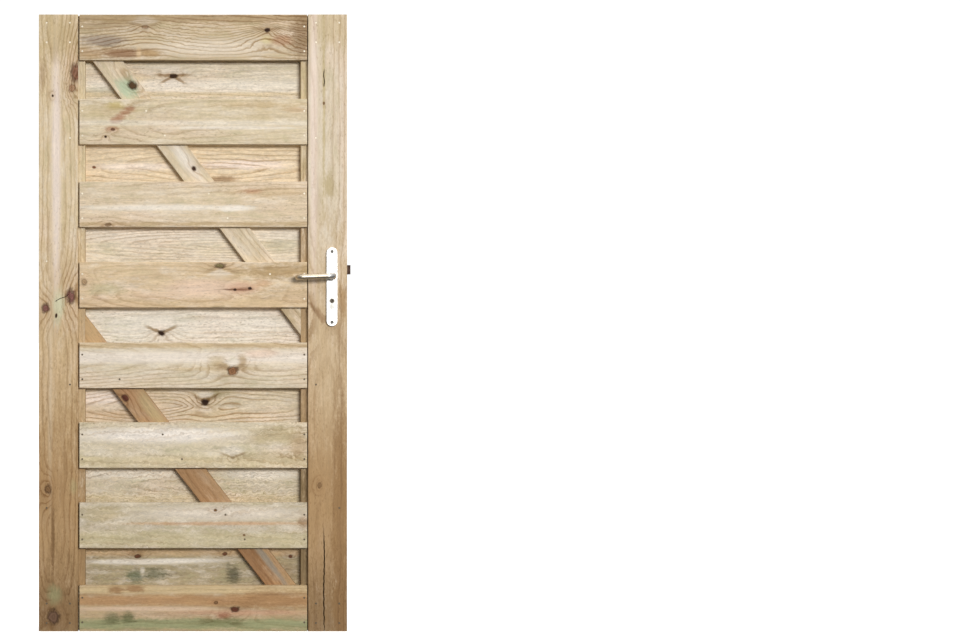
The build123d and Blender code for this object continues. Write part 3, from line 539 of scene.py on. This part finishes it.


# Stiles: four upright face boards over the full height, two in front and two behind, nailed to the core.
# They are pale at the top and turn browner and darker towards the foot: partly their own colour,
# partly painted shade where the light falls off towards the bottom.

foot_tone_and_shade = [stain(0.60, 0.0, 0.50, 1.0, colour(196, 166, 124), 0.7),
        stain(0.28, 0.0, 0.42, 1.0, colour(168, 134, 92), 0.85),
        stain(-0.03, 0.0, 0.24, 1.0, colour(136, 108, 74), 0.8)]
plum = colour(142, 98, 88)
stiles = {
    "front_stile_left": dict(
        tone=colour(214, 193, 158), draw=61.0, pith=(-0.005, 0.03), ring=0.009, tilt=0.012, lines=0.8,
        coarse=0.6,
        knots=[knot(1.631, 0.052, 0.016, colour(150, 104, 80), 3.0, 1.7, 0.9),
               knot(1.585, 0.040, 0.010, colour(180, 130, 94), 2.0, 1.2, 0.6),
               knot(1.563, -0.016, 0.003, knot_dark, 1.0),
               knot(0.978, 0.036, 0.0135, plum, 3.0, 1.5), knot(0.943, -0.036, 0.011, plum, 2.5, 1.2),
               knot(0.921, -0.006, 0.003, knot_dark, 0.5, 2.0),
               knot(0.415, -0.029, 0.009, umber, 3.5, 1.5),
               knot(0.042, -0.014, 0.0165, colour(118, 90, 70), 4.0, 1.3)],
        stains=foot_tone_and_shade + [stain(1.38, -0.006, 0.42, 0.014, colour(232, 216, 204), 0.85),
                       stain(0.9, -0.024, 0.5, 0.008, colour(210, 190, 160), 0.6),
                       stain(1.74, 0.0, 0.08, 0.08, colour(190, 168, 124), 0.7),
                       stain(0.95, 0.0, 0.05, 0.018, colour(214, 214, 182), 0.85),
                       stain(1.62, -0.046, 0.05, 0.01, colour(164, 134, 96), 0.6),
                       stain(0.27, -0.016, 0.11, 0.006, colour(120, 90, 58), 0.8),
                       stain(0.105, -0.012, 0.03, 0.022, moss, 0.6),
                       stain(0.42, 0.044, 0.025, 0.012, colour(176, 160, 118), 0.6)]),
    "front_stile_right": dict(
        tone=colour(210, 194, 168), draw=67.0, pith=(-0.012, 0.045), ring=0.010, tilt=0.01, lines=0.6,
        coarse=0.45,
        knots=[knot(1.541, -0.011, 0.003, umber, 0.8), knot(0.425, -0.024, 0.006, umber, 2.5, 1.3, 0.6),
               eddy(0.93, -0.03, 0.02, 3.0, 2.0)],
        stains=foot_tone_and_shade + [stain(1.76, 0.0, 0.06, 0.08, colour(196, 176, 136), 0.6),
                       stain(0.9, 0.0, 0.35, 0.08, colour(196, 172, 138), 0.45),
                       stain(1.5, -0.040, 0.5, 0.012, colour(232, 212, 198), 0.7),
                       stain(1.55, -0.011, 0.3, 0.005, colour(186, 168, 124), 0.7),
                       stain(1.30, 0.006, 0.04, 0.018, colour(182, 164, 124), 0.7),
                       *trail((0.958, -0.052), (0.905, -0.014), 12, 0.0075, 0.0055,
                              colour(150, 118, 84), 0.5),
                       *trail((0.940, -0.030), (0.905, -0.002), 9, 0.0070, 0.0050,
                              colour(156, 124, 90), 0.4),
                       stain(0.965, 0.045, 0.05, 0.014, colour(166, 132, 90), 0.75),
                       stain(0.25, 0.035, 0.6, 0.022, colour(138, 104, 66), 0.6)]),
    "back_stile_left": dict(tone=colour(214, 196, 162), draw=71.0, pith=(0.01, 0.06), ring=0.008,
                            stains=foot_tone_and_shade,
                            knots=[knot(1.2, 0.02, 0.01, knot_red), knot(0.6, -0.03, 0.008, umber)]),
    "back_stile_right": dict(tone=colour(216, 198, 166), draw=77.0, pith=(-0.02, 0.05), ring=0.009,
                             stains=foot_tone_and_shade,
                             knots=[knot(1.45, -0.025, 0.009, knot_red), knot(0.75, 0.03, 0.012, umber)]),
}
for name, looks in stiles.items():
    dress(name, pine(name + "_pine", upwards, lengthwise, centre_of(name).x, **looks))


# Drying cracks: splits that opened along the grain of the two front stiles as the wood dried.
# They are cut as thin wedges into copies of the boards, which take the place of the plain ones.

cracks = {
    "front_stile_left": [
        ([(-0.360, 0.986), (-0.372, 0.976), (-0.388, 0.971), (-0.404, 0.961)], 0.0013, 0.004)],
    "front_stile_right": [
        ([(0.383, 1.642), (0.3815, 1.622), (0.3835, 1.605), (0.382, 1.588)], 0.0016, 0.006),
        ([(0.3815, 0.302), (0.3835, 0.215), (0.3815, 0.12), (0.383, -0.004)], 0.0019, 0.009)],
}
# The walls of the splits are painted dark brown: painted shade inside the narrow gaps.
crack_shade_material, crack_surface, crack_place = finish("crack_wood_shade")
crack_shade = crack_place.noise(220.0, 3.0)
feed(crack_surface, {"Base Color": crack_shade.mix(colour(58, 42, 28), colour(98, 72, 48)), "Roughness": 0.95,
                     "Specular IOR Level": 0.1, "Normal": crack_shade.bump(0.0005)})


def crack_cutter(route, half_width, depth, face):
    """The space that a drying crack leaves: a thin wedge along its route, open at the timber's face."""
    steps = 14
    tip = 0.15
    opens = 5.0
    closes = 9.0
    clear_of_face = 0.001
    slow_sway = 0.0005
    quick_sway = 0.0003
    places = []
    for (x0, z0), (x1, z1) in zip(route, route[1:]):
        for step in range(steps):
            share = step / steps
            places.append((x0 + (x1 - x0) * share, z0 + (z1 - z0) * share))
    places.append(route[-1])
    wedge = bmesh.new()
    rows = []
    last = len(places) - 1
    for number, (x, z) in enumerate(places):
        share = number / last
        before, after = places[max(number - 1, 0)], places[min(number + 1, last)]
        run = math.hypot(after[0] - before[0], after[1] - before[1])
        aside = ((before[1] - after[1]) / run, (after[0] - before[0]) / run)
        open_end = 6.0 if z < 0.0 else 0.0
        opening = half_width * min(1.0, tip + opens * share, tip + closes * (1.0 - share) + open_end)
        wave = slow_sway * math.sin(number * 1.9) + quick_sway * math.sin(number * 4.3)
        row = []
        for offset, height in ((-opening, -clear_of_face), (opening, -clear_of_face), (0.0, depth)):
            shift = wave + offset
            row.append(wedge.verts.new((x + aside[0] * shift, face + height, z + aside[1] * shift)))
        rows.append(row)
    for first, second in zip(rows, rows[1:]):
        for corner in range(3):
            after = (corner + 1) % 3
            wedge.faces.new((first[corner], first[after], second[after], second[corner]))
    wedge.faces.new(rows[0])
    wedge.faces.new(rows[-1])
    bmesh.ops.recalc_face_normals(wedge, faces=wedge.faces)
    mesh = bpy.data.meshes.new("crack")
    wedge.to_mesh(mesh)
    wedge.free()
    mesh.materials.append(crack_shade_material)
    return bpy.data.objects.new("crack", mesh)


for name, routes in cracks.items():
    low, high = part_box(name)
    split_board = bpy.data.objects.new(name + "_cracked", nodes[name].data.copy())
    bpy.context.scene.collection.objects.link(split_board)
    for route, half_width, depth in routes:
        cutter = crack_cutter(route, half_width, depth, low.y)
        bpy.context.scene.collection.objects.link(cutter)
        cut = split_board.modifiers.new("crack", "BOOLEAN")
        cut.operation = "DIFFERENCE"
        cut.solver = "EXACT"
        cut.material_mode = "TRANSFER"
        cut.object = cutter
        bpy.context.view_layer.update()
        evaluated = split_board.evaluated_get(bpy.context.evaluated_depsgraph_get())
        cut_mesh = bpy.data.meshes.new_from_object(evaluated)
        split_board.modifiers.clear()
        split_board.data = cut_mesh
        bpy.data.objects.remove(cutter)
    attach(split_board, "leaf")
    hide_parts(name)


# Nails: galvanised wire nails, driven through the face boards into the core until their round heads
# lie in shallow pockets. Low on the leaf they are dark; higher up the zinc is pale.

nails, nail_surface, nail_place = finish("nail_zinc")
nail_smudge = nail_place.noise(420.0, 3.0, 0.6)
pale_above_height = 0.93
pale_blend = 0.05
nail_height = nail_place.dot((0, 0, 1)) + (nail_smudge - 0.5) * 0.1
pale_zinc = nail_height.between(pale_above_height - pale_blend, pale_above_height + pale_blend)
nail_tone_by_height = pale_zinc.mix(colour(92, 80, 62), colour(252, 242, 220))
feed(nail_surface, {
    "Base Color": (nail_smudge.between(0.4, 0.7) * 0.5).mix(nail_tone_by_height, colour(150, 132, 104)),
    "Metallic": 0.15,
    "Roughness": 0.5 + nail_smudge * 0.3,
    "Normal": nail_smudge.bump(0.0001, 0.6),
})
for name in ("front_board_nails", "back_board_nails", "front_stile_nails", "back_stile_nails"):
    dress(name, nails)


# Mortise lock: a pressed steel case in a pocket of the right upright, held by its forend strip and two
# wood screws. The hub, the bolts and the springs inside are steel, and the small fixings are zinc-plated.

def shifted(seen, shift):
    """The same linear colour, lighter above 1 and darker below it."""
    return (*[part * shift for part in seen[:3]], 1.0)


brush_along = 40.0
brush_across = 400.0
reflection_begins = 0.008
reflection_full = 0.022


def metal(name, tint, roughness, scratch, metallic=1.0, wood_reflection=None):
    """Bare or plated metal with fine brushed lines and a few smudges.

    If given, a place along x and a tint: away from that place the metal turns to the tint, a painted
    reflection of the wood round it.
    """
    material, surface, place = finish(name)
    lines = vector(place.dot((1, 0, 0)) * brush_across, place.dot((0, 1, 0)) * brush_across,
                   place.dot((0, 0, 1)) * brush_along).noise(1.0, 2.0)
    smudge = place.noise(60.0, 3.0, 0.6)
    shade = (smudge.between(0.35, 0.75) * scratch).mix(tint, shifted(tint, 0.72))
    # Away from the neck the tint turns cream: a painted reflection of the wood round the lever.
    if wood_reflection:
        neck, reflected_wood_tint = wood_reflection
        away = abs(place.dot((1, 0, 0)) - neck)
        shade = away.between(reflection_begins, reflection_full).mix(shade, reflected_wood_tint)
    feed(surface, {
        "Base Color": shade,
        "Metallic": metallic,
        "Roughness": roughness + (smudge - 0.5) * 0.2 + (lines - 0.5) * scratch * 0.4,
        "Normal": lines.bump(0.00004, 0.5),
    })
    return material


case_steel = metal("case_steel", colour(150, 150, 152), 0.5, 0.6)
zinc = metal("zinc", colour(206, 208, 210), 0.38, 0.5)
dark_steel = metal("dark_bolt_steel", colour(52, 40, 34), 0.5, 0.6)
spring_steel = metal("spring_steel", colour(120, 120, 122), 0.35, 0.4)
for name in ("lock_case", "lock_cover", "follower_hub", "cylinder_cam"):
    dress(name, case_steel)
for name in ("lock_forend", "cover_screws", "forend_screws", "sleeve_nuts", "spindle",
             "lever_grub_screws", "cylinder_screw"):
    dress(name, zinc)
dress("plate_screws", metal("screw_zinc", colour(118, 115, 110), 0.7, 0.5, metallic=0.1))
for name in ("latch_bolt", "deadbolt"):
    dress(name, dark_steel)
for name in ("hub_spring", "latch_spring"):
    dress(name, spring_steel)


# Lock plates: two long pressed plates with round ends, of satin anodised aluminium. Two slotted screws
# pass through the leaf and pull them together.

satin = metal("satin_aluminium", colour(230, 228, 224), 0.5, 0.2)
for name in ("front_lock_plate", "back_lock_plate"):
    dress(name, satin)


# Levers: one bent aluminium bar on each side, on a round neck that a grub screw fixes to the square
# spindle. Away from the neck the bars are painted cream, a painted reflection of the wood round them.

polished = metal("lever_aluminium", colour(236, 234, 230), 0.42, 0.2,
                 wood_reflection=(centre_of("spindle").x, colour(204, 192, 172)))
for name in ("front_lever", "back_lever"):
    dress(name, polished)


# Bushes: moulded grey plastic rings pressed into the plates, in which the necks of the levers turn.
# Their skin has the fine grain of the mould.

plastic, plastic_surface, plastic_place = finish("grey_plastic")
grit = plastic_place.noise(900.0, 2.0)
feed(plastic_surface, {
    "Base Color": grit.mix(colour(128, 128, 128), colour(150, 150, 150)),
    "Roughness": 0.45 + grit * 0.2,
    "Normal": grit.bump(0.00005, 0.4),
})
for name in ("front_bush", "back_bush"):
    dress(name, plastic)


# Profile cylinder: a nickel-plated brass body right through the lock, held by one long screw from the
# forend. It has a round plug at each end, painted dark all over as painted shade of the keyway.

dress("cylinder_body", metal("nickel_brass", colour(170, 168, 162), 0.5, 0.4))
plug_keyway_shade = metal("plug_keyway_shade", colour(74, 68, 60), 0.5, 0.4)
for name in ("front_plug", "back_plug"):
    dress(name, plug_keyway_shade)


# Studio: a pale floor that melts into a white backdrop, a large soft light in front and another behind,
# both a little above eye level, and an even light from overhead that keeps the floor white.

floor_half = 60.0
corners = [(-floor_half, -floor_half, 0), (floor_half, -floor_half, 0),
           (floor_half, floor_half, 0), (-floor_half, floor_half, 0)]
floor_mesh = bpy.data.meshes.new("studio_floor")
floor_mesh.from_pydata(corners, [], [range(4)])
floor = bpy.data.objects.new("studio_floor", floor_mesh)
bpy.context.scene.collection.objects.link(floor)
floor.visible_diffuse = False
floor.visible_glossy = False
floor_material, floor_surface, floor_place = finish("studio_floor")
floor_shade = floor_place.noise(0.8).mix((0.88, 0.88, 0.88, 1), (0.92, 0.92, 0.92, 1))
feed(floor_surface, {"Base Color": floor_shade, "Roughness": 0.9, "Specular IOR Level": 0.0,
                     "Emission Color": floor_shade, "Emission Strength": 0.5})
floor_mesh.materials.append(floor_material)

sky_light = 0.5
ground_light = 0.1
backdrop = 1.1
horizon_low = -0.25
horizon_high = 0.35
world = bpy.data.worlds.new("studio")
bpy.context.scene.world = world
world.use_nodes = True
studio = Socket(world.node_tree)
height = studio.node("TexCoord", output="Generated").dot((0, 0, 1))
to_camera = studio.node("LightPath", output="Is Camera Ray")
ambient = height.between(horizon_low, horizon_high) * (sky_light - ground_light) + ground_light
feed(world.node_tree.nodes["Background"], {
    "Color": (1, 1, 1, 1),
    "Strength": ambient + to_camera * (backdrop - ambient),
})


def hang(name, kind, place, aim, settings):
    """A studio light that faces a point."""
    lamp = bpy.data.lights.new(name, kind)
    for setting, value in settings.items():
        setattr(lamp, setting, value)
    holder = bpy.data.objects.new(name, lamp)
    bpy.context.scene.collection.objects.link(holder)
    holder.location = place
    holder.rotation_euler = (Vector(aim) - holder.location).to_track_quat("-Z", "Y").to_euler()


leaf_middle = (0.0, 0.0, 1.0)
softbox = {"shape": "RECTANGLE", "size": 2.3, "size_y": 1.0}
hang("key_softbox", "AREA", (1.8, -5.8, 2.1), leaf_middle, {**softbox, "energy": 296.0})
hang("back_softbox", "AREA", (-1.8, 5.8, 2.1), leaf_middle, {**softbox, "energy": 190.0})
hang("overhead", "SUN", (0.0, 0.0, 6.0), (0.0, 0.0, 0.0), {"energy": 1.5, "angle": math.radians(50)})

eye_height = 0.9
eye_distance = 4.3
camera_data = bpy.data.cameras.new("camera")
camera_data.lens = 54.85
camera_data.sensor_width = 36.0
camera_data.shift_x = 0.299
camera_data.shift_y = 0.003
camera = bpy.data.objects.new("camera", camera_data)
camera.location = (0.0, -eye_distance, eye_height)
camera.rotation_euler = (math.radians(90), 0.0, 0.0)
bpy.context.scene.collection.objects.link(camera)
bpy.context.scene.camera = camera
bpy.context.scene.view_settings.view_transform = "Standard"
